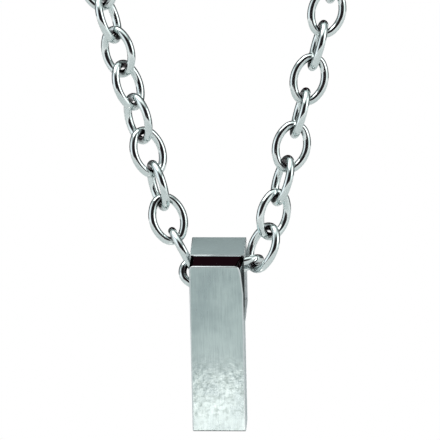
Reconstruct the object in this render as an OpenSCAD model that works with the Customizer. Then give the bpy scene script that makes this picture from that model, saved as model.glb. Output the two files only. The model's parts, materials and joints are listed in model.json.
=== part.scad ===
// Initial pendant: a plain bar with a box bail, hanging free on a closed cable chain.
// It keeps the form it has when worn. The nape of the necklace is the origin, +Z is up,
// and the front of the bar looks along -Y.

/* [Bar] */
// Width of the bar
bar_w = 4.1; // [3.8:0.05:4.3]
// Height of the bar
bar_h = 13.9; // [12:0.1:16]
// Thickness of the bar, front to back
bar_t = 2.05; // [1.8:0.05:2.3]
// Radius of the four corners of the bar's front
bar_corner_r = 0.18; // [0.1:0.02:0.3]

/* [Bail] */
// Width of the bail, across the chain's way through it
bail_w = 4.15; // [3.8:0.05:4.2]
// Height of the bail, level with the bar's top
bail_h = 5.5; // [5.2:0.1:6.5]
// Depth of the bail behind the bar
bail_depth = 3.45; // [3.4:0.05:3.8]
// Thickness of the bail's strip
bail_wall = 0.4; // [0.35:0.01:0.42]
// Radius of the bail's two bends
bail_bend_r = 0.2; // [0.1:0.05:0.3]

/* [Chain link] */
// Distance between the centres of a link's two end bends
tip_run = 1.59; // [1.5:0.03:1.65]
// Radius of the bends at a link's ends, at the wire's centre
tip_r = 0.92; // [0.88:0.01:0.96]
// Diameter of the wire
wire_d = 0.62; // [0.55:0.01:0.66]
// Clear room between two links where they pull on each other
play = 0.13; // [0.1:0.01:0.16]

/* [Hang of the pendant] */
// Swing axis below the roof of the bail
axis_drop = 1.57; // [1.55:0.01:1.7]
// Swing axis behind the back of the bar
axis_set_back = 1.4; // [1.35:0.01:1.5]
// Lean of the pendant to its left side, degrees
hang_lean = 1.2; // [0:0.1:2]

/* [Hang of the chain in the bail] */
// Middle joint of the chain below the swing axis
joint_drop = 0.1; // [0.05:0.01:0.3]
// Middle joint of the chain to the right of the bail's middle
joint_shift = 0.27; // [0:0.01:0.3]
// Rise of the left link inside the bail, degrees
left_rise = 8; // [6:0.5:12]
// Rise of the right link inside the bail, degrees
right_rise = 18.5; // [14:0.5:19]
// Turn of the left link inside the bail about its length, degrees
left_inner_roll = -40; // [-45:1:-36]
// Turn of the right link inside the bail about its length, degrees
right_inner_roll = -56; // [-60:1:-50]
// Lean of the first left link outside the bail, degrees
left_lean = 28; // [24:1:30]
// Lean of the first right link outside the bail, degrees
right_lean = 21.5; // [19:0.5:24]
// Turn of the first left link about its length, degrees
left_roll = -92; // [-96:1:-88]
// Turn from each left link to the next, degrees
left_twist = 81; // [80:1:90]
// Turn of the first right link about its length, degrees
right_roll = 40; // [36:1:44]
// Turn from each right link to the next, degrees
right_twist = 90; // [84:1:92]
// Extra turn of each of the first three steps on the right, degrees
right_extra = 12; // [0:1:12]

/* [Necklace] */
// Radius of the loop round the neck
neck_r = 53; // [45:1:60]
// Height of that loop's centre above the bail, along the chain's own sheet
loop_drop = 183.5; // [160:1:220]
// Backward tilt of the sheet over the chest, degrees
chest_tilt = 4; // [2:1:15]
// Length of the flat stretch over the chest
chest_run = 110; // [90:1:130]
// Radius of the bend from the chest to the shoulders
shoulder_r = 45; // [30:1:60]
// Backward tilt of the sheet round the neck, degrees
neck_tilt = 58; // [45:1:65]

/* [Clasp] */
// Outside diameter of the clasp's ring
ring_d = 5; // [4.6:0.1:5.4]
// Diameter of the ring's wire
ring_wire = 0.9; // [0.7:0.1:0.9]
// Distance between the centres of the clasp's two end bends
clasp_run = 4.5; // [4.2:0.3:5.4]
// Radius of the bends at the clasp's ends, at the middle of its thickness
clasp_tip_r = 1.35; // [1.3:0.05:1.5]
// Thickness of the clasp's body
clasp_wire = 1.3; // [1:0.1:1.3]
// Outside diameter of the clasp's eye
eye_d = 3.1; // [2.9:0.1:3.2]
// Thickness of the clasp's eye
eye_wire = 0.8; // [0.6:0.1:0.9]

/* [Hidden] */
$fn = 24;

LEFT = -1;
RIGHT = 1;
RIGHTWARDS = [1, 0, 0];
INNER = -1;
FIRST = 0;

bar_steel = [0.66, 0.71, 0.7];
chain_steel = [0.78, 0.8, 0.8];
clasp_steel = [0.7, 0.72, 0.73];

// The bar's own frame has its top at 0 and its front at 0, with the bail behind it.
bar_vol = bar_w * bar_t * bar_h;
leg_vol = bail_w * bail_depth * bail_wall;
plate_vol = bail_w * bail_wall * (bail_h - 2 * bail_wall);
pendant_vol = bar_vol + 2 * leg_vol + plate_vol;
mass_back = (bar_vol * bar_t / 2 + 2 * leg_vol * (bar_t + bail_depth / 2)
    + plate_vol * (bar_t + bail_depth - bail_wall / 2)) / pendant_vol;
mass_up = -(bar_vol * bar_h + (2 * leg_vol + plate_vol) * bail_h) / 2 / pendant_vol;
axis_back = bar_t + axis_set_back;
axis_up = -(bail_wall + axis_drop);

// Hanging free, the pendant leans forward until its weight is under the swing axis.
hang_tilt = atan2(axis_back - mass_back, axis_up - mass_up);
bail_up = [0, -sin(hang_tilt), cos(hang_tilt)];
bail_front = [0, -cos(hang_tilt), -sin(hang_tilt)];

// Two links' tips reach past each other.
hook = 2 * tip_r - wire_d - play;
pitch = tip_run + hook;

// The clasp and its ring lie on a chord across the nape, from one last link to the other.
ring_r = (ring_d - ring_wire) / 2;
eye_r = (eye_d - eye_wire) / 2;
link_to_ring = tip_r + ring_r - (wire_d + ring_wire) / 2 - play;
ring_to_clasp = ring_r + clasp_tip_r - (ring_wire + clasp_wire) / 2 - play;
eye_sink = 0.3;
clasp_to_eye = clasp_tip_r + eye_r + eye_sink;
eye_to_link = eye_r + tip_r - (eye_wire + wire_d) / 2 - play;
half_chord = (link_to_ring + ring_to_clasp + clasp_run + clasp_to_eye + eye_to_link) / 2;
ring_x = link_to_ring - half_chord;
clasp_x = ring_x + ring_to_clasp + clasp_run / 2;
nape_q = loop_drop + sqrt(neck_r * neck_r - half_chord * half_chord);

function unit(v) = v / norm(v);
function degrees(radians) = radians * 180 / PI;

// The width of a link that lies along an axis and is turned about it from facing the front
function link_width(along, front, roll) =
    let (across = unit(cross(along, front)))
    cos(roll) * across + sin(roll) * cross(across, along);

// The direction in which two hooked links pull on each other, pointing outwards
function pull(along_a, width_a, along_b, width_b) =
    let (line = unit(cross(cross(along_a, width_a), cross(along_b, width_b))))
    line * along_b > 0 ? line : -line;

// The chain's sheet: flat over the chest, bent at the shoulders, flat round the neck
shoulder_len = shoulder_r * (neck_tilt - chest_tilt) * PI / 180;
function bent(q) = min(max(q - chest_run, 0), shoulder_len);
function tilt(q) = chest_tilt + degrees(bent(q) / shoulder_r);
function sheet_up(q) = [0, sin(tilt(q)), cos(tilt(q))];
function sheet_front(q) = [0, -cos(tilt(q)), sin(tilt(q))];
function past_shoulder(q) = max(q - chest_run - shoulder_len, 0);
function sheet(x, q) = RIGHTWARDS * x + min(q, chest_run) * sheet_up(0)
    + shoulder_r * [0, cos(chest_tilt) - cos(tilt(q)), sin(tilt(q)) - sin(chest_tilt)]
    + past_shoulder(q) * sheet_up(q);

// Each side's links are counted from the bail: INNER lies inside it, FIRST outside it, and from
// 1 on they make the strand. The inner links are measured from the swing axis.
function inner_along(side) =
    let (rise = side == LEFT ? left_rise : right_rise) [side * cos(rise), 0, sin(rise)];
function inner_width(side) =
    link_width(inner_along(side), bail_front, side == LEFT ? left_inner_roll : right_inner_roll);
inner_pull = pull(inner_along(LEFT), inner_width(LEFT), inner_along(RIGHT), inner_width(RIGHT));
function inner_tip(side) =
    joint_shift * RIGHTWARDS - joint_drop * bail_up + side * hook / 2 * inner_pull;

// The first link outside the bail, hooked into the inner one
function first_along(side) =
    let (lean = side == LEFT ? left_lean : right_lean)
    sin(lean) * side * RIGHTWARDS + cos(lean) * sheet_up(0);
function first_width(side) =
    link_width(first_along(side), sheet_front(0), side == LEFT ? left_roll : right_roll);
function first_pull(side) =
    pull(inner_along(side), inner_width(side), first_along(side), first_width(side));
function first_tip(side) =
    inner_tip(side) + tip_run * inner_along(side) + hook * first_pull(side);

// From there each side runs straight up the sheet and round the neck to the nape.
function strand_along(side) =
    let (lean = asin(neck_r / loop_drop)) sin(lean) * side * RIGHTWARDS + cos(lean) * sheet_up(0);
function strand_pull(side) = pull(first_along(side), first_width(side), strand_along(side),
    link_width(strand_along(side), sheet_front(0), seen_roll(side, 1)));
function side_start(side) = first_tip(side) + tip_run * first_along(side)
    + hook * strand_pull(side) - hook / 2 * strand_along(side);
start_mid = (side_start(LEFT) + side_start(RIGHT)) / 2;
sheet_foot = [0, start_mid.y, start_mid.z];
function start_out(side) = side * side_start(side).x;
function start_q(side) = (side_start(side) - sheet_foot) * sheet_up(0);
function start_depth(side) = (side_start(side) - sheet_foot) * sheet_front(0);
depth_fade_run = 20;

function to_centre(side) = [-start_out(side), loop_drop - start_q(side)];
function side_lean(side) =
    let (way = to_centre(side)) atan2(way.x, way.y) + asin(neck_r / norm(way));
function straight_len(side) = sqrt(to_centre(side) * to_centre(side) - neck_r * neck_r);
function arc_len(angle) = neck_r * angle * PI / 180;
function side_len(side) =
    straight_len(side) + arc_len(90 + side_lean(side) - asin(half_chord / neck_r)) + hook / 2;
function link_count(side) = ceil(side_len(side) / pitch);
function link_step(side) = side_len(side) / link_count(side);

// Angle from the top of the loop at a distance along the side's arc
function turn_left(side, run) =
    90 + side_lean(side) - degrees((run - straight_len(side)) / neck_r);
function side_out(side, run) = run < straight_len(side)
    ? start_out(side) + run * sin(side_lean(side))
    : neck_r * sin(turn_left(side, run));
function side_q(side, run) = run < straight_len(side)
    ? start_q(side) + run * cos(side_lean(side))
    : loop_drop + neck_r * cos(turn_left(side, run));
function side_point(side, run) =
    let (q = side_q(side, run), fade = max(0, 1 - run / depth_fade_run))
    sheet_foot + sheet(side * side_out(side, run), q) + fade * start_depth(side) * sheet_front(q);
function side_along(side, run) =
    let (slant = run < straight_len(side) ? side_lean(side) : turn_left(side, run) - 90)
    side * sin(slant) * RIGHTWARDS + cos(slant) * sheet_up(side_q(side, run));

// The photographed turns of the links run on to a whole quarter turn at the nape.
seen_links = 8;
function seen_roll(side, k) = side == LEFT
    ? left_roll + left_twist * k
    : right_roll + right_twist * k + right_extra * min(k, 3);
function nape_roll(side) =
    let (base = side == LEFT ? 0 : 90,
         free = seen_roll(side, seen_links) + 90 * (link_count(side) - seen_links))
    base + 180 * round((free - base) / 180);
function link_roll(side, k) = k <= seen_links ? seen_roll(side, k)
    : let (share = (k - seen_links) / (link_count(side) - seen_links))
      seen_roll(side, seen_links) * (1 - share) + nape_roll(side) * share;

// Where a link of a side lies: its middle, its length's direction and its width's
function link_run(side, k) = (k - 0.5) * link_step(side);
function link_mid(side, k) =
    k == INNER ? inner_tip(side) + tip_run / 2 * inner_along(side)
    : k == FIRST ? first_tip(side) + tip_run / 2 * first_along(side)
    : side_point(side, link_run(side, k));
function link_along(side, k) =
    k == INNER ? inner_along(side)
    : k == FIRST ? first_along(side)
    : side_along(side, link_run(side, k));
function link_across(side, k) =
    k == INNER ? inner_width(side)
    : k == FIRST ? first_width(side)
    : link_width(link_along(side, k), sheet_front(side_q(side, link_run(side, k))),
        link_roll(side, k));

// The swing axis, seen from the nape
swing_axis = -(sheet_foot + sheet(0, nape_q));

module rounded_rect(low, high, r) {
    translate(low + [r, 0]) square(high - low - [2 * r, 0]);
    translate(low + [0, r]) square(high - low - [0, 2 * r]);
    for (x = [low.x + r, high.x - r], y = [low.y + r, high.y - r])
        translate([x, y]) circle(r);
}

// Arcs that run smoothly into each other, as in a bent wire: each half is an end's bend, in two
// arcs, and a flank. The centres of the bend and of the flank make a 3-4-5 triangle with the
// middle of the oval.
module wire_oval(run, bend_r, wire) {
    apart = run / 2 / 0.6;
    meet = acos(0.6);
    CENTRE = 0;
    RADIUS = 1;
    FROM = 2;
    TO = 3;
    arcs = [
        [[0.6 * apart, 0], bend_r, -meet, 0],
        [[0.6 * apart, 0], bend_r, 0, meet],
        [[0, -0.8 * apart], apart + bend_r, meet, 180 - meet],
    ];
    for (turn = [0, 180], arc = arcs)
        rotate([0, 0, turn]) translate(arc[CENTRE]) wire_arc(arc[RADIUS], arc[FROM], arc[TO], wire);
}

module wire_arc(r, from, to, wire) {
    rotate([0, 0, from]) rotate_extrude(angle = to - from) translate([r, 0]) circle(d = wire);
}

// Puts a flat piece's length, width and normal where they belong.
module lay(centre, along, width) {
    normal = cross(along, width);
    multmatrix([for (i = [0:2]) [along[i], width[i], normal[i], centre[i]]]) children();
}

module cable_link() {
    wire_oval(tip_run, tip_r, wire_d);
}

module bar() {
    translate([0, bar_t, 0]) rotate([90, 0, 0])
        linear_extrude(bar_t) rounded_rect([-bar_w / 2, -bar_h], [bar_w / 2, 0], bar_corner_r);
}

module box_bail() {
    back = bar_t + bail_depth;
    rotate([90, 0, 90]) linear_extrude(bail_w, center = true) difference() {
        rounded_rect([bar_t - bail_bend_r, -bail_h], [back, 0], bail_bend_r);
        translate([bar_t - 2 * bail_bend_r, -bail_h - bail_wall])
            square([2 * bail_bend_r, bail_h + 2 * bail_wall]);
        translate([bar_t - bail_bend_r, bail_wall - bail_h])
            square([bail_depth - bail_wall + bail_bend_r, bail_h - 2 * bail_wall]);
    }
}

module initial_pendant() {
    color(bar_steel) translate(swing_axis) rotate([hang_tilt, hang_lean, 0])
        translate([0, -axis_back, -axis_up]) {
            bar();
            box_bail();
        }
}

module chain(side) {
    color(chain_steel) translate(swing_axis)
        for (k = [INNER : link_count(side)])
            lay(link_mid(side, k), link_along(side, k), link_across(side, k)) cable_link();
}

module chain_left() chain(LEFT);

module chain_right() chain(RIGHT);

// The clasp lies flat on the nape and its ring stands across it.
module clasp() {
    color(clasp_steel) lay(clasp_x * RIGHTWARDS, RIGHTWARDS, sheet_up(nape_q)) {
        wire_oval(clasp_run, clasp_tip_r, clasp_wire);
        translate([clasp_run / 2 + clasp_to_eye, 0]) wire_arc(eye_r, 0, 360, eye_wire);
    }
}

module clasp_ring() {
    color(clasp_steel) lay(ring_x * RIGHTWARDS, RIGHTWARDS, sheet_front(nape_q))
        wire_arc(ring_r, 0, 360, ring_wire);
}

initial_pendant();
chain_left();
chain_right();
clasp();
clasp_ring();
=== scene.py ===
"""A plain bar pendant that hangs free in the V of a cable chain.

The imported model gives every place: the pieces made here stand where its nodes are. All
lengths are in metres, and MM turns a size that is thought of in millimetres into metres.
"""
from __future__ import annotations

import json
import logging
import math
from collections.abc import Callable, Iterable, Iterator, Sequence
from contextlib import contextmanager
from dataclasses import dataclass, replace
from enum import Enum
from functools import partial

import bmesh
import bpy
import numpy as np
from mathutils import Matrix, Vector

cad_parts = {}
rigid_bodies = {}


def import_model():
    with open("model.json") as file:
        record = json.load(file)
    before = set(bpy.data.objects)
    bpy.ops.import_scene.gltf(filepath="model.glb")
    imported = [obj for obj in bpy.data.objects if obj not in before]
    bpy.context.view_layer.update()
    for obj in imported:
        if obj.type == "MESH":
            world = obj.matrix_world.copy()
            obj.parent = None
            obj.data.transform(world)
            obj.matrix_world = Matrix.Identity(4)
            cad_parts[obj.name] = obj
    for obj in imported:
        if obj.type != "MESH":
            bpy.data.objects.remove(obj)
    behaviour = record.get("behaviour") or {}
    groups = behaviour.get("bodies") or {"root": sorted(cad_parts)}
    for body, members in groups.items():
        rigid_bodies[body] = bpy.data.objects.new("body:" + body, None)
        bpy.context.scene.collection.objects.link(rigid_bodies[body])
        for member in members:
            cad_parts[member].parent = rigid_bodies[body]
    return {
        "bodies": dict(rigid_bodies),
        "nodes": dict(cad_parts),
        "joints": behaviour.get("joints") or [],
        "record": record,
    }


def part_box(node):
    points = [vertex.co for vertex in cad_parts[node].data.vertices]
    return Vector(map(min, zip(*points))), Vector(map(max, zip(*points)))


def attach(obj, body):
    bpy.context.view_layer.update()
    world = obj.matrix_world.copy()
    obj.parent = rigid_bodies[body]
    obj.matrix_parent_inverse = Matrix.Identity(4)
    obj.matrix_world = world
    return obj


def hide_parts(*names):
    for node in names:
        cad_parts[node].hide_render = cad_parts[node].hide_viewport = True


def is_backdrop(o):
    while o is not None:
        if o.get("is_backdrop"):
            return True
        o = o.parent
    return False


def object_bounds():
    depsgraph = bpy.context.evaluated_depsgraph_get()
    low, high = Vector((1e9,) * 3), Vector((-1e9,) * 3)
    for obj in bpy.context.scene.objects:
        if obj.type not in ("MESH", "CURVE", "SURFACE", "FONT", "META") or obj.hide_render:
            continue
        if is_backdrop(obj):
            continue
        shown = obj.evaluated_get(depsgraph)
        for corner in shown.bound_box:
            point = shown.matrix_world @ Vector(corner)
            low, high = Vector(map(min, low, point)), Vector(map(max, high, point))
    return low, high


log = logging.getLogger("pendant")

Colour = tuple[float, float, float]
Place = tuple[float, float, float]

MM = 0.001
TOUCH = 0.001 * MM  # places nearer than this are one place
DOWN = (0, 0, -1)
PHOTO_SIDE_PX = 440
PAINTED_CONTACT_SHADE = "painted_contact_shade"  # mask for the painted shade on a link's points where a neighbouring link meets it
NOISE_MEAN = 0.5
BLACK, WHITE = (0, 0, 0, 1), (1, 1, 1, 1)


class Body(Enum):
    """The two bodies that the pieces ride on."""

    NECKLACE = "necklace"
    PENDANT = "pendant"


class Slot(Enum):
    """The record's material slots."""

    PENDANT = "pendant_steel"
    CHAIN = "chain_steel"
    CLASP = "clasp_steel"


class Brushing(Enum):
    """How a steel surface was worked: evenly, or brushed along the pendant's height."""

    NONE = "none"
    LENGTHWAYS = "lengthways"


class Detail(Enum):
    """How many finer layers a noise has."""

    SOFT = 2.0
    MIXED = 3.0
    CRISP = 4.0


# Shader maths


def opaque(colour: Colour) -> tuple[float, float, float, float]:
    """A colour as a colour socket takes it."""
    return (*colour, 1)


class Signal:
    """A number that varies over a surface, so that shader maths reads as plain expressions."""

    def __init__(self, net: Net, socket: bpy.types.NodeSocket) -> None:
        """Wraps an output socket of a net."""
        self.net = net
        self.socket = socket

    def __add__(self, other: Signal | float) -> Signal:
        """self + other"""
        return self.net.maths("ADD", self, other)

    __radd__ = __add__

    def __sub__(self, other: Signal | float) -> Signal:
        """self - other"""
        return self.net.maths("SUBTRACT", self, other)

    def __rsub__(self, other: float) -> Signal:
        """other - self"""
        return self.net.maths("SUBTRACT", other, self)

    def __mul__(self, other: Signal | float) -> Signal:
        """self * other"""
        return self.net.maths("MULTIPLY", self, other)

    __rmul__ = __mul__

    def step_up(self, start: float, end: float) -> Signal:
        """Rises smoothly from 0 to 1 as this signal goes from start to end.

        Args:
            start: the value at which the result is 0.
            end: the value at which it reaches 1.

        Returns:
            The eased signal.
        """
        settings = {"interpolation_type": "SMOOTHSTEP"}
        inputs = {"Value": self, "From Min": start, "From Max": end}
        eased = self.net.node("ShaderNodeMapRange", settings, inputs)
        return Signal(self.net, eased.outputs["Result"])


class Net:
    """A tree of shader nodes, built from Python expressions. A Mix node's colour sockets share
    their names with its other sockets, so they go by number."""

    MIX_SHARE, MIX_LOW, MIX_HIGH, MIX_RESULT = 0, 6, 7, 2

    def __init__(self, tree: bpy.types.NodeTree) -> None:
        """Empties the node tree of a material or of the world, and takes it over."""
        tree.nodes.clear()
        self.tree = tree

    def node(self, kind: str, settings: dict[str, object] | None = None,
             inputs: dict[str | int, object] | None = None) -> bpy.types.Node:
        """Adds any node.

        Args:
            kind: the node's type name.
            settings: attributes of the node, set first.
            inputs: for each socket's name or number, a value, a socket or a Signal.

        Returns:
            The new node.
        """
        made = self.tree.nodes.new(kind)
        for name, value in (settings or {}).items():
            setattr(made, name, value)
        for key, value in (inputs or {}).items():
            self.feed(made.inputs[key], value)
        return made

    def feed(self, target: bpy.types.NodeSocket, value: object) -> None:
        """Gives a socket its value or its link.

        Args:
            target: the input socket.
            value: a value, a socket or a Signal.
        """
        if isinstance(value, Signal):
            value = value.socket
        if isinstance(value, bpy.types.NodeSocket):
            self.tree.links.new(value, target)
        else:
            target.default_value = value

    def maths(self, operation: str, *values: Signal | float) -> Signal:
        """The result of a Math node's operation on values, as a Signal."""
        made = self.node("ShaderNodeMath", {"operation": operation}, dict(enumerate(values)))
        return Signal(self, made.outputs[0])

    def blend(self, share: Signal, low: bpy.types.NodeSocket | Sequence[float],
              high: bpy.types.NodeSocket | Sequence[float]) -> bpy.types.NodeSocket:
        """Mixes two colours.

        Args:
            share: how much of the second colour shows, from 0 to 1.
            low: the colour at 0.
            high: the colour at 1.

        Returns:
            The mixed colour's socket.
        """
        inputs = {self.MIX_SHARE: share, self.MIX_LOW: low, self.MIX_HIGH: high}
        mix = self.node("ShaderNodeMix", {"data_type": "RGBA"}, inputs)
        return mix.outputs[self.MIX_RESULT]

    def along(self, vector: bpy.types.NodeSocket, axis: Sequence[float]) -> Signal:
        """The part of a vector along an axis, as a Signal."""
        settings, inputs = {"operation": "DOT_PRODUCT"}, {0: vector, 1: tuple(axis)}
        return Signal(self, self.node("ShaderNodeVectorMath", settings, inputs).outputs["Value"])

    def length(self, vector: bpy.types.NodeSocket) -> Signal:
        """The length of a vector, as a Signal."""
        made = self.node("ShaderNodeVectorMath", {"operation": "LENGTH"}, {0: vector})
        return Signal(self, made.outputs["Value"])

    def noise(self, vector: bpy.types.NodeSocket, size: float, detail: Detail) -> Signal:
        """A random field over a vector, 0.5 on average, with spots of about a size."""
        inputs = {"Vector": vector, "Scale": 1 / size, "Detail": detail.value}
        return Signal(self, self.node("ShaderNodeTexNoise", None, inputs).outputs[0])


# Finishes


@dataclass(frozen=True)
class Handling:
    """The dark flecks and the dents that handling leaves low on the bar's face: how wide and how
    strong they are, how far below the top they rise, and how far below it they partly fade."""

    fleck: float = 0.4 * MM
    fleck_range: tuple[float, float] = (0.42, 0.7)
    fleck_colour: Colour = (0.26, 0.32, 0.31)
    fleck_share: float = 0.7
    dent: float = 0.42 * MM
    dent_depth: float = 0.04 * MM
    rise: tuple[float, float] = (6.8 * MM, 9.6 * MM)
    fade: tuple[float, float] = (12 * MM, 13.3 * MM)
    faded_share: float = 0.5

    def share(self, down: Signal) -> Signal:
        """How strong the handling is at a depth below the top, from 0 to 1."""
        return down.step_up(*self.rise) * (1 - down.step_up(*self.fade) * self.faded_share)

    def flecked(self, net: Net, own: bpy.types.NodeSocket, handled: Signal,
                steel: bpy.types.NodeSocket) -> bpy.types.NodeSocket:
        """Adds the flecks to a colour.

        Args:
            net: the material's net.
            own: the place in the bar's own frame.
            handled: how strong the handling is.
            steel: the colour without flecks.

        Returns:
            The flecked colour's socket.
        """
        flecks = net.noise(own, self.fleck, Detail.SOFT).step_up(*self.fleck_range)
        shown = flecks * handled * self.fleck_share
        return net.blend(shown, steel, opaque(self.fleck_colour))

    def dents(self, net: Net, own: bpy.types.NodeSocket, handled: Signal) -> Signal:
        """The dents' height over the steel."""
        return net.noise(own, self.dent, Detail.SOFT) * handled * self.dent_depth


@dataclass(frozen=True)
class SteelFinish:
    """Stainless steel as one surface of the jewel shows it. Its colour turns to its stain where
    soft clouds and fine marks are strong, and its roughness varies with both by its spread.
    Brushing leaves lines of a width and a run, and other work leaves specks. A satin range says
    how far below the top the polish turns to satin."""

    name: str
    colour: Colour
    stain: Colour
    roughness: float
    roughness_spread: float
    brushing: Brushing = Brushing.NONE
    metallic: float = 1.0
    edge_tint: float = 1.0
    gloss: float = 0.5
    cloud: float = 2.5 * MM
    cloud_share: float = 0.65
    mark_share: float = 0.35
    stain_range: tuple[float, float] = (0.36, 0.64)
    speck: float = 0.2 * MM
    brush_line: float = 0.08 * MM
    brush_run: float = 3.0 * MM
    mark_depth: float = 0.0012 * MM
    handling: Handling | None = None
    satin_range: tuple[float, float] | None = None
    satin_share: float = 0.75
    paints_contact_shade: bool = False
    contact_shade_range: tuple[float, float] = (0.1, 0.5)
    contact_shade_mottle: float = 0.4
    # the dark colour that is painted as shade where neighbouring links meet
    contact_shade_colour: Colour = (0.07, 0.055, 0.06)

    def material(self, into_bar: Matrix) -> bpy.types.Material:
        """Makes the finish as a material.

        Args:
            into_bar: turns world places into the bar's own frame, for brushing that follows it.

        Returns:
            The material.
        """
        made = bpy.data.materials.new(self.name)
        made.use_nodes = True
        net = Net(made.node_tree)
        own = net.node("ShaderNodeMapping", None, {
            "Vector": net.node("ShaderNodeTexCoord").outputs["Object"],
            "Location": into_bar.to_translation(),
            "Rotation": into_bar.to_euler("XYZ"),
        }).outputs["Vector"]
        cloud = net.noise(own, self.cloud, Detail.MIXED)
        marks = self.marks(net, own)
        stained = (cloud * self.cloud_share + marks * self.mark_share).step_up(*self.stain_range)
        steel = net.blend(stained, opaque(self.colour), opaque(self.stain))
        height = marks * self.mark_depth
        if self.handling:
            handled = self.handling.share(net.along(own, DOWN))
            steel = self.handling.flecked(net, own, handled, steel)
            height = height + self.handling.dents(net, own, handled)
        # painted shade where neighbouring links meet
        if self.paints_contact_shade:
            steel = self.darkened(net, marks, steel)
        metallic: Signal | float = self.metallic
        if self.satin_range:
            metallic = 1 - net.along(own, DOWN).step_up(*self.satin_range) * self.satin_share
        uneven = (cloud - NOISE_MEAN) * self.roughness_spread
        scratched = (marks - NOISE_MEAN) * self.roughness_spread
        relief = {"Strength": 1.0, "Distance": 1.0, "Height": height}
        surface = net.node("ShaderNodeBsdfPrincipled", None, {
            "Base Color": steel,
            "Metallic": metallic,
            "Roughness": self.roughness + uneven + scratched,
            "Specular IOR Level": self.gloss,
            "Specular Tint": opaque((self.edge_tint, self.edge_tint, self.edge_tint)),
            "Normal": net.node("ShaderNodeBump", None, relief).outputs["Normal"],
        })
        net.node("ShaderNodeOutputMaterial", None, {"Surface": surface.outputs["BSDF"]})
        return made

    def marks(self, net: Net, own: bpy.types.NodeSocket) -> Signal:
        """The fine marks of the work: brush lines along the bar, or faint specks.

        Args:
            net: the material's net.
            own: the place in the bar's own frame.

        Returns:
            The marks' strength, 0.5 on average.
        """
        if self.brushing is Brushing.NONE:
            return net.noise(own, self.speck, Detail.CRISP)
        across, along = 1 / self.brush_line, 1 / self.brush_run
        inputs = {"Vector": own, "Scale": (across, along, along)}
        stretched = net.node("ShaderNodeMapping", None, inputs).outputs["Vector"]
        return net.noise(stretched, 1.0, Detail.CRISP)

    def darkened(self, net: Net, marks: Signal,
                 steel: bpy.types.NodeSocket) -> bpy.types.NodeSocket:
        """Paints shade into a colour where a neighbouring link meets this one.

        Args:
            net: the material's net.
            marks: the fine marks, which break up the dark places.
            steel: the colour without them.

        Returns:
            The darkened colour's socket.
        """
        near = net.node("ShaderNodeAttribute", {"attribute_name": PAINTED_CONTACT_SHADE}).outputs["Fac"]
        painted_contact_shade = Signal(net, near) + (marks - NOISE_MEAN) * self.contact_shade_mottle
        return net.blend(painted_contact_shade.step_up(*self.contact_shade_range), steel, opaque(self.contact_shade_colour))


BRUSHED_FACE = SteelFinish(
    "brushed_face", colour=(0.58, 0.675, 0.665), stain=(0.42, 0.5, 0.505),
    roughness=0.25, roughness_spread=0.1, brushing=Brushing.LENGTHWAYS,
    brush_line=0.1 * MM, brush_run=1.6 * MM, mark_depth=0.0015 * MM, handling=Handling())
BRUSHED_BAIL = SteelFinish(
    "brushed_bail", colour=(0.62, 0.73, 0.735), stain=(0.55, 0.65, 0.655),
    roughness=0.5, roughness_spread=0.12, metallic=0.75, mark_depth=0.0016 * MM)
SATIN_BACK = SteelFinish(
    "satin_back", colour=(0.7, 0.76, 0.77), stain=(0.6, 0.66, 0.67),
    roughness=0.45, roughness_spread=0.1, brushing=Brushing.LENGTHWAYS, metallic=0.25,
    mark_depth=0.002 * MM)
SATIN_INSIDE = SteelFinish(
    "satin_inside", colour=(0.78, 0.8, 0.81), stain=(0.7, 0.73, 0.74),
    roughness=0.4, roughness_spread=0.1, metallic=0.15, mark_depth=0.002 * MM)
SATIN_SIDE = SteelFinish(
    "satin_side", colour=(0.72, 0.78, 0.79), stain=(0.62, 0.68, 0.69),
    roughness=0.24, roughness_spread=0.08, brushing=Brushing.LENGTHWAYS, edge_tint=0.1,
    gloss=0.0, satin_range=(3.3 * MM, 5.61 * MM))
# Near-black steel: painted shade and painted dark reflection on the corners of the top and the
# front edge of the foot
PAINTED_DARK_EDGE = SteelFinish(
    "painted_dark_edge", colour=(0.06, 0.05, 0.053), stain=(0.05, 0.04, 0.044),
    roughness=0.12, roughness_spread=0.04, edge_tint=0.1)
POLISHED_EDGE = SteelFinish(
    "polished_edge", colour=(0.76, 0.8, 0.81), stain=(0.7, 0.74, 0.75),
    roughness=0.07, roughness_spread=0.04)
# The wire gets painted shade where neighbouring links meet.
POLISHED_WIRE = SteelFinish(
    "polished_wire", colour=(0.79, 0.84, 0.835), stain=(0.69, 0.75, 0.745),
    roughness=0.11, roughness_spread=0.07, paints_contact_shade=True)
POLISHED_CLASP = SteelFinish(
    "polished_clasp", colour=(0.74, 0.78, 0.78), stain=(0.7, 0.74, 0.74),
    roughness=0.12, roughness_spread=0.08)

BAR_FINISHES = (POLISHED_EDGE, BRUSHED_FACE, PAINTED_DARK_EDGE, SATIN_SIDE, SATIN_BACK)
BAIL_FINISHES = (POLISHED_EDGE, BRUSHED_BAIL, SATIN_INSIDE)


# Bench work


def lies_at(axis: str, place: float, *points: Vector) -> bool:
    """Says whether points all lie at one place along the axis x, y or z."""
    return sum(abs(getattr(point, axis) - place) for point in points) < TOUCH


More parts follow.
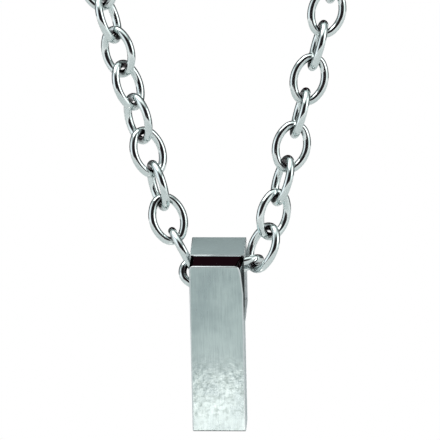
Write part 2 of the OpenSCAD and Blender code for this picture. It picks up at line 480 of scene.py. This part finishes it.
class Bench:
    """The few hand tools that every piece is made with."""

    MERGE = 0.002 * MM

    @staticmethod
    def clear() -> None:
        """Deselects every object, so that an operator acts only on what comes next."""
        bpy.ops.object.select_all(action="DESELECT")

    @staticmethod
    def pick(*things: bpy.types.Object) -> None:
        """Selects these objects alone, with the first one active.

        Args:
            things: the objects.
        """
        Bench.clear()
        for thing in things:
            thing.select_set(True)
        bpy.context.view_layer.objects.active = things[0]

    @staticmethod
    @contextmanager
    def editing(thing: bpy.types.Object) -> Iterator[None]:
        """Opens an object in edit mode and leaves the mode again.

        Args:
            thing: the object.

        Yields:
            Nothing, while the object is open.
        """
        Bench.pick(thing)
        bpy.ops.object.mode_set(mode="EDIT")
        try:
            yield
        finally:
            bpy.ops.object.mode_set(mode="OBJECT")

    @staticmethod
    def choose_edges(thing: bpy.types.Object, wanted: Callable[[Vector, Vector], bool]) -> None:
        """In edit mode, selects only the edges whose two ends pass a test.

        Args:
            thing: the object in edit mode.
            wanted: takes the places of an edge's ends.
        """
        bpy.ops.mesh.select_mode(type="EDGE")
        bpy.ops.mesh.select_all(action="DESELECT")
        shape = bmesh.from_edit_mesh(thing.data)
        for edge in shape.edges:
            edge.select_set(wanted(edge.verts[0].co, edge.verts[1].co))
        bmesh.update_edit_mesh(thing.data)

    @staticmethod
    def round_edges(thing: bpy.types.Object, wanted: Callable[[Vector, Vector], bool],
                    radius: float, steps: int) -> None:
        """In edit mode, rounds the edges whose ends pass a test, from a radius away, in steps."""
        Bench.choose_edges(thing, wanted)
        bpy.ops.mesh.bevel(offset=radius, segments=steps, affect="EDGES")

    @staticmethod
    def settle() -> None:
        """Moves the selected object's place, turn and size into its mesh."""
        bpy.ops.object.transform_apply(location=True, rotation=True, scale=True)

    @staticmethod
    def take(name: str, size: Sequence[float] = (1, 1, 1)) -> bpy.types.Object:
        """Names the primitive that was just added and stretches its mesh to a size.

        Args:
            name: its new name.
            size: how far it is stretched along each axis.

        Returns:
            The primitive.
        """
        thing = bpy.context.active_object
        thing.name = thing.data.name = name
        thing.scale = size
        Bench.settle()
        return thing

    @staticmethod
    def put(thing: bpy.types.Object, place: Matrix) -> None:
        """Moves a finished mesh to its place, with its object left at the origin.

        Args:
            thing: the finished object.
            place: the matrix that takes it there.
        """
        Bench.pick(thing)
        thing.matrix_world = place
        Bench.settle()

    @staticmethod
    def modify(thing: bpy.types.Object, kind: str, **settings: object) -> None:
        """Adds a modifier and applies it.

        Args:
            thing: the object to change.
            kind: the modifier's type name.
            settings: the modifier's attributes.
        """
        Bench.pick(thing)
        modifier = thing.modifiers.new(kind.title(), kind)
        for name, value in settings.items():
            setattr(modifier, name, value)
        bpy.ops.object.modifier_apply(modifier=modifier.name)

    @staticmethod
    def slice_off(thing: bpy.types.Object, at: Vector, outwards: Vector) -> None:
        """Cuts away what lies beyond a plane and closes the cut.

        Args:
            thing: the object to cut.
            at: a point of the plane.
            outwards: the plane's normal, towards the waste.
        """
        with Bench.editing(thing):
            bpy.ops.mesh.select_all(action="SELECT")
            bpy.ops.mesh.bisect(plane_co=at, plane_no=outwards, clear_outer=True, use_fill=True)

    @staticmethod
    def smooth(thing: bpy.types.Object, crease: float) -> None:
        """Smooths the shading where faces meet flatter than a crease's angle in degrees."""
        Bench.pick(thing)
        bpy.ops.object.shade_smooth_by_angle(angle=math.radians(crease))

    @staticmethod
    def true_up(thing: bpy.types.Object, crease: float) -> None:
        """Smooths the shading as smooth does, with the large flat faces kept flat."""
        Bench.smooth(thing, crease)
        Bench.modify(thing, "WEIGHTED_NORMAL", keep_sharp=True)

    @staticmethod
    def close_up(thing: bpy.types.Object) -> None:
        """Merges doubled points and turns every face outwards.

        Args:
            thing: the object to close.
        """
        with Bench.editing(thing):
            bpy.ops.mesh.select_all(action="SELECT")
            bpy.ops.mesh.remove_doubles(threshold=Bench.MERGE)
            bpy.ops.mesh.normals_make_consistent(inside=False)

    @staticmethod
    def join(name: str, things: Sequence[bpy.types.Object]) -> bpy.types.Object:
        """Makes several objects one.

        Args:
            name: the name of the whole.
            things: the objects.

        Returns:
            The whole.
        """
        Bench.pick(*things)
        bpy.ops.object.join()
        joined = bpy.context.active_object
        joined.name = joined.data.name = name
        return joined


@dataclass(frozen=True)
class Bend:
    """One arc that a wire is bent through, in the flat."""

    centre: tuple[float, float]
    degrees: float
    steps: int


def bent_wire(name: str, thickness: float, sides: int, start: Vector,
              bends: Iterable[Bend]) -> bpy.types.Object:
    """Bends a closed wire in the XY plane: a round section is spun through one arc after another.

    Args:
        name: the new object's name.
        thickness: the wire's diameter.
        sides: how many sides its round section has.
        start: where the wire starts, on the X axis, running towards +Y.
        bends: the arcs in order, which bring the wire back to its start.

    Returns:
        The closed wire.
    """
    Bench.clear()
    upright = (math.pi / 2, 0, 0)
    bpy.ops.mesh.primitive_circle_add(
        vertices=sides, radius=thickness / 2, location=start, rotation=upright)
    wire = Bench.take(name)
    with Bench.editing(wire):
        for bend in bends:
            angle, centre = math.radians(bend.degrees), (*bend.centre, 0)
            bpy.ops.mesh.spin(steps=bend.steps, angle=angle, center=centre, axis=DOWN)
    Bench.close_up(wire)
    return wire


@dataclass(frozen=True)
class WireOval:
    """A closed oval of round wire. Its middle, the centre of an end's bend and the centre of a
    flank's long arc make a 3-4-5 triangle, so the two centres stand 0.6 and 0.8 of their
    distance from the middle. The reach of the painted shade where a neighbouring link meets
    the oval counts in thicknesses of the wire."""

    run: float
    bend_r: float
    thickness: float
    tip_share: float = 0.6
    flank_share: float = 0.8
    contact_shade_reach: float = 1.15

    def length(self) -> float:
        """The oval's outside length."""
        return self.run + 2 * self.bend_r + self.thickness

    def make(self, name: str, sides: int, tip_steps: int, flank_steps: int) -> bpy.types.Object:
        """Bends the oval, long along X.

        Args:
            name: the new object's name.
            sides: sides of the wire's section.
            tip_steps: steps in half of an end's bend.
            flank_steps: steps in a flank.

        Returns:
            The oval, with its middle at the origin.
        """
        apart = self.run / (2 * self.tip_share)
        tip_x, flank_y = self.tip_share * apart, self.flank_share * apart
        tip_turn = math.degrees(math.acos(self.tip_share))
        flank_turn = 180 - 2 * tip_turn
        half_tip = Bend((tip_x, 0), tip_turn, tip_steps)
        bends = [
            half_tip,
            Bend((0, -flank_y), flank_turn, flank_steps),
            Bend((-tip_x, 0), 2 * tip_turn, 2 * tip_steps),
            Bend((0, flank_y), flank_turn, flank_steps),
            half_tip,
        ]
        start = Vector((tip_x + self.bend_r, 0, 0))
        oval = bent_wire(name, self.thickness, sides, start, bends)
        self.mark_contact_shade(oval)
        return oval

    def mark_contact_shade(self, oval: bpy.types.Object) -> None:
        """Marks how near each point lies to where a neighbouring link meets it, inside the oval's
        two ends, as the mask for the painted shade there.

        Args:
            oval: the oval, with its middle at the origin.
        """
        inside = Vector((self.length() / 2 - self.thickness, 0, 0))
        reach = self.contact_shade_reach * self.thickness
        painted_contact_shade = oval.data.attributes.new(PAINTED_CONTACT_SHADE, "FLOAT", "POINT")
        for point, mark in zip(oval.data.vertices, painted_contact_shade.data):
            away = min((point.co - inside).length, (point.co + inside).length)
            mark.value = max(0.0, 1 - away / reach)


# The pendant


@dataclass(frozen=True)
class Wear:
    """One slightly slanted cut of a worn side: how deep it starts at the front of the top, and
    how much shallower it gets for each length down."""

    depth: float
    slope: float


@dataclass(frozen=True)
class Leans:
    """How far a face leans towards an axis where its finish changes: at 1 it is square on."""

    front: float = 0.98
    side: float = 0.9
    back: float = 0.95
    corner_up: float = 0.3
    corner_sideways: float = 0.02
    corner_forward: float = 0.5
    foot_down: float = 0.2
    foot_forward: float = 0.1
    bail_side: float = 0.7
    bail_flat: float = 0.3
    bail_forward: float = 0.1


@dataclass
class BarPendant:
    """The bar and the box bail behind it, in the bar's own frame: its top at Z 0, its front at
    Y 0, and the bail behind."""

    swing_axis: Vector
    hang_tilt: float = 23.9543
    hang_lean: float = 1.2
    bar_w: float = 4.1 * MM
    bar_h: float = 13.9 * MM
    bar_t: float = 2.05 * MM
    top_step: float = 0.05 * MM
    top_corner_r: float = 0.28 * MM
    foot_corner_r: float = 0.1 * MM
    bar_edge: float = 0.1 * MM
    worn_at_back: float = 0.09 * MM
    worn_side: tuple[Wear, ...] = (
        Wear(0.33 * MM, 0.267), Wear(0.226 * MM, 0.094), Wear(0.155 * MM, 0.047))
    bail_w: float = 4.15 * MM
    bail_h: float = 5.5 * MM
    bail_depth: float = 3.45 * MM
    bail_wall: float = 0.4 * MM
    bail_bend_r: float = 0.2 * MM
    bail_edge: float = 0.05 * MM
    axis_set_back: float = 1.4 * MM
    axis_drop: float = 1.57 * MM
    solder_sink: float = 0.03 * MM
    leans: Leans = Leans()
    round_steps: int = 6
    edge_steps: int = 3
    crease: float = 35.0

    def place(self) -> Matrix:
        """Works out how the pendant hangs.

        Returns:
            The matrix that hangs the pendant from its own frame at the swing axis.
        """
        turn = Matrix.Rotation(math.radians(self.hang_lean), 4, "Y")
        tilt = Matrix.Rotation(math.radians(self.hang_tilt), 4, "X")
        axis = Vector((0, self.bar_t + self.axis_set_back, -self.bail_wall - self.axis_drop))
        return Matrix.Translation(self.swing_axis) @ turn @ tilt @ Matrix.Translation(-axis)

    def bar(self) -> bpy.types.Object:
        """Makes the bar: a block whose right side is worn towards its top, with rounded corners
        and softened edges round its front and back. Its top lies a little below the bail's.

        Returns:
            The bar.
        """
        Bench.clear()
        top, bottom = -self.top_step, -self.bar_h
        middle = (0, self.bar_t / 2, (top + bottom) / 2)
        bpy.ops.mesh.primitive_cube_add(size=1, location=middle)
        bar = Bench.take("bar", (self.bar_w, self.bar_t, top - bottom))
        for wear in self.worn_side:
            at = Vector((self.bar_w / 2 - wear.depth, 0, top))
            twist = (wear.depth - self.worn_at_back) / self.bar_t
            Bench.slice_off(bar, at, Vector((1, -twist, wear.slope)))
        with Bench.editing(bar):
            for z, radius in ((top, self.top_corner_r), (bottom, self.foot_corner_r)):
                Bench.round_edges(bar, partial(self.is_corner, z), radius, self.round_steps)
            for y in (0, self.bar_t):
                Bench.round_edges(bar, partial(lies_at, "y", y), self.bar_edge, self.edge_steps)
        return bar

    def bail(self) -> bpy.types.Object:
        """Makes the bail: a strip bent twice, soldered to the bar's back at both ends.

        Returns:
            The bail.
        """
        Bench.clear()
        reach = self.bail_depth + self.solder_sink
        back = self.bar_t + self.bail_depth
        bpy.ops.mesh.primitive_plane_add(size=1, location=(0, back - reach / 2, 0))
        bail = Bench.take("box_bail", (self.bail_w, reach, 1))
        with Bench.editing(bail):
            Bench.choose_edges(bail, partial(lies_at, "y", back))
            for step in ((0, 0, -self.bail_h), (0, -reach, 0)):
                bpy.ops.mesh.extrude_region_move(TRANSFORM_OT_translate={"value": step})
        Bench.modify(bail, "SOLIDIFY", thickness=self.bail_wall, offset=-1, use_even_offset=True)
        with Bench.editing(bail):
            Bench.round_edges(bail, self.is_bend, self.bail_bend_r, self.round_steps)
            Bench.round_edges(bail, self.is_rim, self.bail_edge, self.edge_steps)
        return bail

    def is_corner(self, z: float, a: Vector, b: Vector) -> bool:
        """Says whether an edge is one of the bar's two corners at a height."""
        return abs(a.y - b.y) > self.bar_t / 2 and lies_at("z", z, a, b)

    def is_rim(self, a: Vector, b: Vector) -> bool:
        """Says whether an edge of the bail has a softened edge.

        Args:
            a: one end of the edge.
            b: its other end.

        Returns:
            True along one side of the outer skin, and at the front of the roof, which shows
            above the bar.
        """
        side = a.x * b.x > 0 and self.is_skin(a) and self.is_skin(b)
        lip = lies_at("y", self.bar_t - self.solder_sink, a, b) and lies_at("z", 0, a, b)
        return side or lip

    def is_skin(self, point: Vector) -> bool:
        """Says whether a point of the bail's strip lies on its outer skin.

        Args:
            point: the point.

        Returns:
            True on the outside of the roof, of the back or of the floor.
        """
        from_roof, from_floor = abs(point.z), abs(point.z + self.bail_h)
        from_back = abs(point.y - self.bar_t - self.bail_depth)
        return min(from_roof, from_floor, from_back) < self.bail_wall / 4

    def is_inside(self, point: Vector) -> bool:
        """Says whether a point of the bail's strip lies on its inner skin.

        Args:
            point: the point.

        Returns:
            True on the side of the strip that faces the chain.
        """
        nearly_a_wall = 0.9 * self.bail_wall
        from_back = self.bar_t + self.bail_depth - point.y
        return min(from_back, -point.z, point.z + self.bail_h) > nearly_a_wall

    def is_bend(self, a: Vector, b: Vector) -> bool:
        """Says whether an edge is the outside of one of the strip's two bends.

        Args:
            a: one end of the edge.
            b: its other end.

        Returns:
            True for a level edge right across the back.
        """
        across = abs(a.x - b.x) > self.bail_w / 2
        at_back = lies_at("y", self.bar_t + self.bail_depth, a, b)
        return across and at_back and abs(a.z - b.z) < TOUCH

    def bar_finish(self, face: bpy.types.MeshPolygon) -> SteelFinish:
        """Chooses a face's finish on the bar by how it leans.

        Args:
            face: the face, in the pendant's own frame.

        Returns:
            Brushing on the front, satin on the sides and the back, near-black painted shade and
            painted dark reflection on the corners of the top and the front edge of the foot, and
            polish on the rest.
        """
        leans = self.leans
        sideways, forward, up = abs(face.normal.x), -face.normal.y, face.normal.z
        top_corner = (up > leans.corner_up and sideways > leans.corner_sideways
                      and forward < leans.corner_forward)
        foot_edge = -up > leans.foot_down and forward > leans.foot_forward
        if forward > leans.front:
            return BRUSHED_FACE
        # the top's corners and the foot's front edge get near-black painted shade and painted dark
        # reflection
        if top_corner or foot_edge:
            return PAINTED_DARK_EDGE
        if sideways > leans.side:
            return SATIN_SIDE
        return SATIN_BACK if -forward > leans.back else POLISHED_EDGE

    def bail_finish(self, face: bpy.types.MeshPolygon) -> SteelFinish:
        """Chooses a face's finish on the bail by where it is and how it leans.

        Args:
            face: the face, in the pendant's own frame.

        Returns:
            Light satin inside and on the sides, brushing on the roof, the back and the floor,
            and polish on the softened edges between them.
        """
        leans = self.leans
        sideways, forward = abs(face.normal.x), -face.normal.y
        if sideways > leans.bail_side or self.is_inside(face.center):
            return SATIN_INSIDE
        flat = sideways < leans.bail_flat and forward < leans.bail_forward
        return BRUSHED_BAIL if flat else POLISHED_EDGE

    def dress(self, bar: bpy.types.Object, bail: bpy.types.Object, place: Matrix) -> None:
        """Gives every face of the bar and the bail its finish.

        Args:
            bar: the bar, still in the pendant's own frame.
            bail: the bail, in the same frame.
            place: the matrix that hangs the pendant.
        """
        into_bar = place.inverted()
        needed = dict.fromkeys(BAR_FINISHES + BAIL_FINISHES)
        materials = {finish: finish.material(into_bar) for finish in needed}
        for thing, finishes, choose in (
                (bar, BAR_FINISHES, self.bar_finish), (bail, BAIL_FINISHES, self.bail_finish)):
            for finish in finishes:
                thing.data.materials.append(materials[finish])
            for face in thing.data.polygons:
                face.material_index = finishes.index(choose(face))

    def build(self) -> list[bpy.types.Object]:
        """Makes, dresses and hangs both pieces.

        Returns:
            The bar and the bail.
        """
        place = self.place()
        bar, bail = self.bar(), self.bail()
        self.dress(bar, bail, place)
        for thing in (bar, bail):
            Bench.true_up(thing, self.crease)
            Bench.put(thing, place)
            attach(thing, Body.PENDANT.value)
            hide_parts("initial_pendant")
        return [bar, bail]


# The chain


@dataclass
class CableChain:
    """One side of the chain: the same link again and again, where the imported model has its
    links. A link within close range of the pendant is cut finely, and the others plainly."""

    node: str
    pendant_at: Vector
    link: WireOval = WireOval(run=1.59 * MM, bend_r=0.92 * MM, thickness=0.62 * MM)
    close_range: float = 48 * MM
    merge: float = 0.0001 * MM
    crease: float = 80.0

    def islands(self, source: bpy.types.Object) -> Iterator[np.ndarray]:
        """Yields the corners of each loose solid's triangles. The faces wait in a dict, which
        keeps their order, so every run finds the links in the same order.

        Args:
            source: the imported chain's object.

        Yields:
            One array for each link: triangle, corner, coordinate.
        """
        shape = bmesh.new()
        shape.from_mesh(source.data)
        bmesh.ops.remove_doubles(shape, verts=shape.verts, dist=self.merge)
        bmesh.ops.triangulate(shape, faces=shape.faces)
        waiting = dict.fromkeys(shape.faces)
        while waiting:
            front, found = [waiting.popitem()[0]], []
            while front:
                face = front.pop()
                found.append([corner.co[:] for corner in face.verts])
                beside = [other for edge in face.edges for other in edge.link_faces]
                for other in beside:
                    if other in waiting:
                        del waiting[other]
                        front.append(other)
            yield np.array(found)
        shape.free()

    @staticmethod
    def frame_of(triangles: np.ndarray) -> Matrix:
        """Finds a link's middle, length and width from its skin: the length lies the way in which
        the skin's area spreads most, and the width the way in which it spreads next most. How a
        triangle spreads follows from its corners and from their sum.

        Args:
            triangles: its triangles' corners.

        Returns:
            The matrix that takes a link made along X, flat in XY, to its place.
        """
        sides = triangles[:, 1:] - triangles[:, :1]
        areas = np.linalg.norm(np.cross(sides[:, 0], sides[:, 1]), axis=1)
        weights = areas / areas.sum()
        centre = weights @ triangles.mean(axis=1)
        corners = triangles - centre
        sums = corners.sum(axis=1)
        spread = np.einsum("t,tci,tcj->ij", weights, corners, corners)
        spread += np.einsum("t,ti,tj->ij", weights, sums, sums)
        _, axes = np.linalg.eigh(spread)
        length, width = Vector(axes[:, 2]), Vector(axes[:, 1])
        frame = Matrix((length, width, length.cross(width))).transposed().to_4x4()
        frame.translation = Vector(centre)
        return frame

    @staticmethod
    def lay(pattern: bpy.types.Object, frame: Matrix) -> bpy.types.Object:
        """Copies a link to its place.

        Args:
            pattern: the link to copy.
            frame: the matrix that takes it to its place.

        Returns:
            The copy, with its own mesh.
        """
        link = pattern.copy()
        link.data = pattern.data.copy()
        link.data.transform(frame)
        bpy.context.collection.objects.link(link)
        return link

    def build(self, nodes: dict[str, bpy.types.Object],
              material: bpy.types.Material) -> bpy.types.Object:
        """Makes the links and joins them as one piece.

        Args:
            nodes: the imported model's nodes by name.
            material: the wire's finish.

        Returns:
            The chain's piece.
        """
        near = self.link.make("near_link", sides=16, tip_steps=10, flank_steps=12)
        far = self.link.make("far_link", sides=5, tip_steps=2, flank_steps=2)
        links = []
        for triangles in self.islands(nodes[self.node]):
            frame = self.frame_of(triangles)
            close = (frame.translation - self.pendant_at).length < self.close_range
            links.append(self.lay(near if close else far, frame))
        for pattern in (near, far):
            bpy.data.objects.remove(pattern)
        chain = Bench.join(f"{self.node}_links", links)
        chain.data.materials.append(material)
        Bench.smooth(chain, self.crease)
        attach(chain, Body.NECKLACE.value)
        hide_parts(self.node)
        log.info("%s has %d links", self.node, len(links))
        return chain


# The clasp


@dataclass
class NapeClasp:
    """The plain closed clasp and the ring that it takes, on the nape."""

    neck_tilt: float = 58.0
    body: WireOval = WireOval(run=4.5 * MM, bend_r=1.35 * MM, thickness=1.3 * MM)
    eye_d: float = 3.1 * MM
    eye_wire: float = 0.8 * MM
    ring_d: float = 5.0 * MM
    ring_wire: float = 0.9 * MM
    loop_sides: int = 14
    loop_steps: int = 36
    crease: float = 60.0

    def loop(self, name: str, diameter: float, thickness: float) -> bpy.types.Object:
        """Bends a round loop of wire, flat in XY with its middle at the origin.

        Args:
            name: the new object's name.
            diameter: the loop's outside diameter.
            thickness: the wire's diameter.

        Returns:
            The loop.
        """
        start = Vector(((diameter - thickness) / 2, 0, 0))
        whole_turn = Bend((0, 0), 360, self.loop_steps)
        return bent_wire(name, thickness, self.loop_sides, start, [whole_turn])

    def build(self, material: bpy.types.Material) -> list[bpy.types.Object]:
        """Makes, dresses and places the clasp and its ring.

        Args:
            material: their finish.

        Returns:
            The clasp and the ring.
        """
        body = self.body.make("clasp_body", sides=16, tip_steps=8, flank_steps=10)
        eye = self.loop("clasp_eye", self.eye_d, self.eye_wire)
        low, high = (Vector(corner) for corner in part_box("clasp"))
        half = self.body.length() / 2
        eye.data.transform(Matrix.Translation((high.x - low.x - self.eye_d / 2 - half, 0, 0)))
        clasp = Bench.join("clasp_piece", [body, eye])
        lie = Matrix.Rotation(math.radians(90 - self.neck_tilt), 4, "X")
        Bench.put(clasp, Matrix.Translation((low.x + half, 0, 0)) @ lie)
        ring = self.loop("clasp_ring_piece", self.ring_d, self.ring_wire)
        low, high = (Vector(corner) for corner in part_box("clasp_ring"))
        stand = Matrix.Rotation(math.radians(-self.neck_tilt), 4, "X")
        Bench.put(ring, Matrix.Translation(((low.x + high.x) / 2, 0, 0)) @ stand)
        for thing, node in ((clasp, "clasp"), (ring, "clasp_ring")):
            thing.data.materials.append(material)
            Bench.smooth(thing, self.crease)
            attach(thing, Body.NECKLACE.value)
            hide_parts(node)
        return [clasp, ring]


# The studio


@dataclass(frozen=True)
class Patch:
    """A soft round patch of the studio's walls, as polished steel sees it. Angles are degrees:
    azimuth 0 is in front of the pendant's face and 90 to its right in the photo."""

    azimuth: float
    elevation: float
    inner: float
    outer: float
    colour: Colour

    def towards(self) -> Vector:
        """Works out where the patch is.

        Returns:
            The direction of its middle.
        """
        turn, rise = math.radians(self.azimuth), math.radians(self.elevation)
        level = math.cos(rise)
        return Vector((math.sin(turn) * level, -math.cos(turn) * level, math.sin(rise)))

    def share(self, net: Net, towards: bpy.types.NodeSocket) -> Signal:
        """How much of the patch shows in a direction, from 0 to 1."""
        rim, core = math.cos(math.radians(self.outer)), math.cos(math.radians(self.inner))
        return net.along(towards, self.towards()).step_up(rim, core)


@dataclass(frozen=True)
class Lamp:
    """A soft square lamp: its place from a starting point, the length of its sides, its power
    and colour, and how far the square is turned about its middle, in degrees."""

    name: str
    at: Place
    size: float
    watts: float
    colour: Colour = (1, 1, 1)
    turn: float = 0.0

    def hang(self, start: Vector, aim: Vector) -> bpy.types.Object:
        """Hangs the lamp.

        Args:
            start: the point that its place counts from.
            aim: the point that it faces.

        Returns:
            The lamp's object.
        """
        data = bpy.data.lights.new(self.name, "AREA")
        data.color = self.colour
        data.size = self.size
        data.energy = self.watts
        lamp = bpy.data.objects.new(self.name, data)
        bpy.context.collection.objects.link(lamp)
        at = start + Vector(self.at)
        facing = (aim - at).to_track_quat("-Z", "Y").to_matrix()
        lamp.location = at
        lamp.rotation_euler = (facing @ Matrix.Rotation(math.radians(self.turn), 3, "Z")).to_euler()
        lamp.visible_camera = False
        return lamp


FOOT_CARD = Lamp(
    "foot_card", (0, -6.03 * MM, -6.669 * MM), size=9 * MM, watts=0.00015,
    colour=(1, 0.89, 0.86), turn=-26.0)


@dataclass
class Studio:
    """The floor, the walls that the steel reflects, the lights and the camera. The room's lamps
    are placed in the world, the back lamp from the pendant, and the cards from its foot."""

    pendant_at: Vector
    lowest: float
    pendant: Sequence[bpy.types.Object]
    floor_drop: float = 0.05
    floor_r: float = 1.1
    floor_sides: int = 96
    floor_colour: Colour = (0.86, 0.87, 0.87)
    floor_roughness: float = 0.7
    fade_from: float = 0.25
    fade_to: float = 0.9
    wall: Colour = (0.4, 0.455, 0.45)
    # azimuth, elevation, how far out the patch is whole, where it ends, colour
    patches: tuple[Patch, ...] = (
        Patch(72, 5, 18, 40, (1.15, 1.25, 1.23)),
        Patch(-72, 5, 18, 40, (1.1, 1.17, 1.22)),
        Patch(180, -5, 58, 100, (0.1, 0.11, 0.11)),
        Patch(0, 66, 16, 40, (1.15, 1.25, 1.23)),
        Patch(2, 2, 35, 58, (0.018, 0.013, 0.015)),
        Patch(180, 40, 20, 35, (0.012, 0.004, 0.006)),
        Patch(174, 0, 9, 24, (0.012, 0.008, 0.01)),
    )
    room_lamps: tuple[Lamp, ...] = (
        Lamp("top_light", (-0.75, -0.65, 1.65), size=1.3, watts=17.0),
        Lamp("side_light", (0.6, -0.3, 0.1), size=0.4, watts=0.5),
    )
    back_lamp: Lamp = Lamp("back_light", (0.1, 0.5, 0.05), size=0.3, watts=1.5)
    foot_at: Place = (0, 1.7 * MM, -12.75 * MM)
    foot_cards: tuple[Lamp, ...] = (
        FOOT_CARD, replace(FOOT_CARD, name="foot_glow", size=3 * MM, watts=0.00034))
    azimuth: float = 3.1
    roll: float = 1.1
    px_per_mm: float = 13.1
    swing_axis_px: tuple[float, float] = (218.5, 270.9)
    distance: float = 0.8
    sensor: float = 36.0
    clip: tuple[float, float] = (0.01, 10)

    def floor(self) -> None:
        """Lays a plain pale disc below the necklace, which fades into the white view at its rim."""
        Bench.clear()
        bpy.ops.mesh.primitive_circle_add(
            vertices=self.floor_sides, radius=self.floor_r, fill_type="NGON",
            location=(0, 0, self.lowest - self.floor_drop))
        floor = Bench.take("floor")
        paint = bpy.data.materials.new("pale_floor")
        paint.use_nodes = True
        net = Net(paint.node_tree)
        out = net.length(net.node("ShaderNodeTexCoord").outputs["Object"])
        rim = out.step_up(self.fade_from * self.floor_r, self.fade_to * self.floor_r)
        surface = net.node("ShaderNodeBsdfPrincipled", None, {
            "Base Color": net.blend(rim, opaque(self.floor_colour), BLACK),
            "Roughness": self.floor_roughness,
            "Emission Color": net.blend(rim, BLACK, WHITE),
            "Emission Strength": 1.0,
        })
        net.node("ShaderNodeOutputMaterial", None, {"Surface": surface.outputs["BSDF"]})
        floor.data.materials.append(paint)
        floor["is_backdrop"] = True

    def walls(self) -> None:
        """Surrounds the jewel with pale walls that have a few dark patches, behind a white view."""
        world = bpy.data.worlds.new("studio")
        bpy.context.scene.world = world
        world.use_nodes = True
        net = Net(world.node_tree)
        towards = net.node("ShaderNodeTexCoord").outputs["Generated"]
        colour: bpy.types.NodeSocket | Sequence[float] = opaque(self.wall)
        for patch in self.patches:
            colour = net.blend(patch.share(net, towards), colour, opaque(patch.colour))
        seen = Signal(net, net.node("ShaderNodeLightPath").outputs["Is Camera Ray"])
        inputs = {"Color": net.blend(seen, colour, WHITE), "Strength": 1.0}
        background = net.node("ShaderNodeBackground", None, inputs).outputs["Background"]
        net.node("ShaderNodeOutputWorld", None, {"Surface": background})

    def lights(self) -> None:
        """Hangs the lamps, and two small cards whose light makes the foot of the bar glow."""
        for lamp in self.room_lamps:
            lamp.hang(Vector(), self.pendant_at)
        self.back_light()
        foot = self.pendant_at + Vector(self.foot_at)
        for card in self.foot_cards:
            card.hang(foot, foot)

    def back_light(self) -> None:
        """Lights the pendant's satin back, which the other lamps leave in the dark. The polish
        and the floor don't see this lamp."""
        lamp = self.back_lamp.hang(self.pendant_at, self.pendant_at)
        lamp.visible_glossy = False
        lit = bpy.data.collections.new("lit_from_behind")
        for thing in self.pendant:
            lit.objects.link(thing)
        lamp.light_linking.receiver_collection = lit

    def camera(self) -> None:
        """Sets the camera at the photo's angle, with its roll and scale."""
        turn, roll = math.radians(self.azimuth), math.radians(self.roll)
        level_right = Vector((math.cos(turn), math.sin(turn), 0))
        forward = Vector((-math.sin(turn), math.cos(turn), 0))
        level_up = Vector((0, 0, 1))
        right = math.cos(roll) * level_right - math.sin(roll) * level_up
        up = math.sin(roll) * level_right + math.cos(roll) * level_up
        px = MM / self.px_per_mm
        middle = PHOTO_SIDE_PX / 2
        off_right = (middle - self.swing_axis_px[0]) * px
        off_up = (self.swing_axis_px[1] - middle) * px
        aim = self.pendant_at + off_right * right + off_up * up
        data = bpy.data.cameras.new("photo_camera")
        data.sensor_width = self.sensor
        data.lens = self.sensor * self.distance / (PHOTO_SIDE_PX * px)
        data.clip_start, data.clip_end = self.clip
        camera = bpy.data.objects.new("photo_camera", data)
        bpy.context.collection.objects.link(camera)
        frame = Matrix((right, up, -forward)).transposed().to_4x4()
        frame.translation = aim - forward * self.distance
        camera.matrix_world = frame
        bpy.context.scene.camera = camera

    def build(self) -> None:
        """Sets up the whole studio."""
        bpy.context.scene.view_settings.view_transform = "Standard"
        self.floor()
        self.walls()
        self.lights()
        self.camera()


def main() -> None:
    """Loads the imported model, dresses it and sets the studio round it."""
    logging.basicConfig(level=logging.INFO, format="%(name)s: %(message)s")
    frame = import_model()
    cad_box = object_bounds()
    pendant_at = Vector(frame["record"]["behaviour"]["joints"][0]["pos_m"])
    pendant = BarPendant(pendant_at)
    into_bar = pendant.place().inverted()
    wire = POLISHED_WIRE.material(into_bar)
    hung = pendant.build()
    made = list(hung)
    for node in ("chain_left", "chain_right"):
        made.append(CableChain(node, pendant_at).build(frame["nodes"], wire))
    made += NapeClasp().build(POLISHED_CLASP.material(into_bar))
    for piece in made:
        log.info("%s: %d faces", piece.name, len(piece.data.polygons))
    Studio(pendant_at, cad_box[0].z, hung).build()


if __name__ == "__main__":
    main()
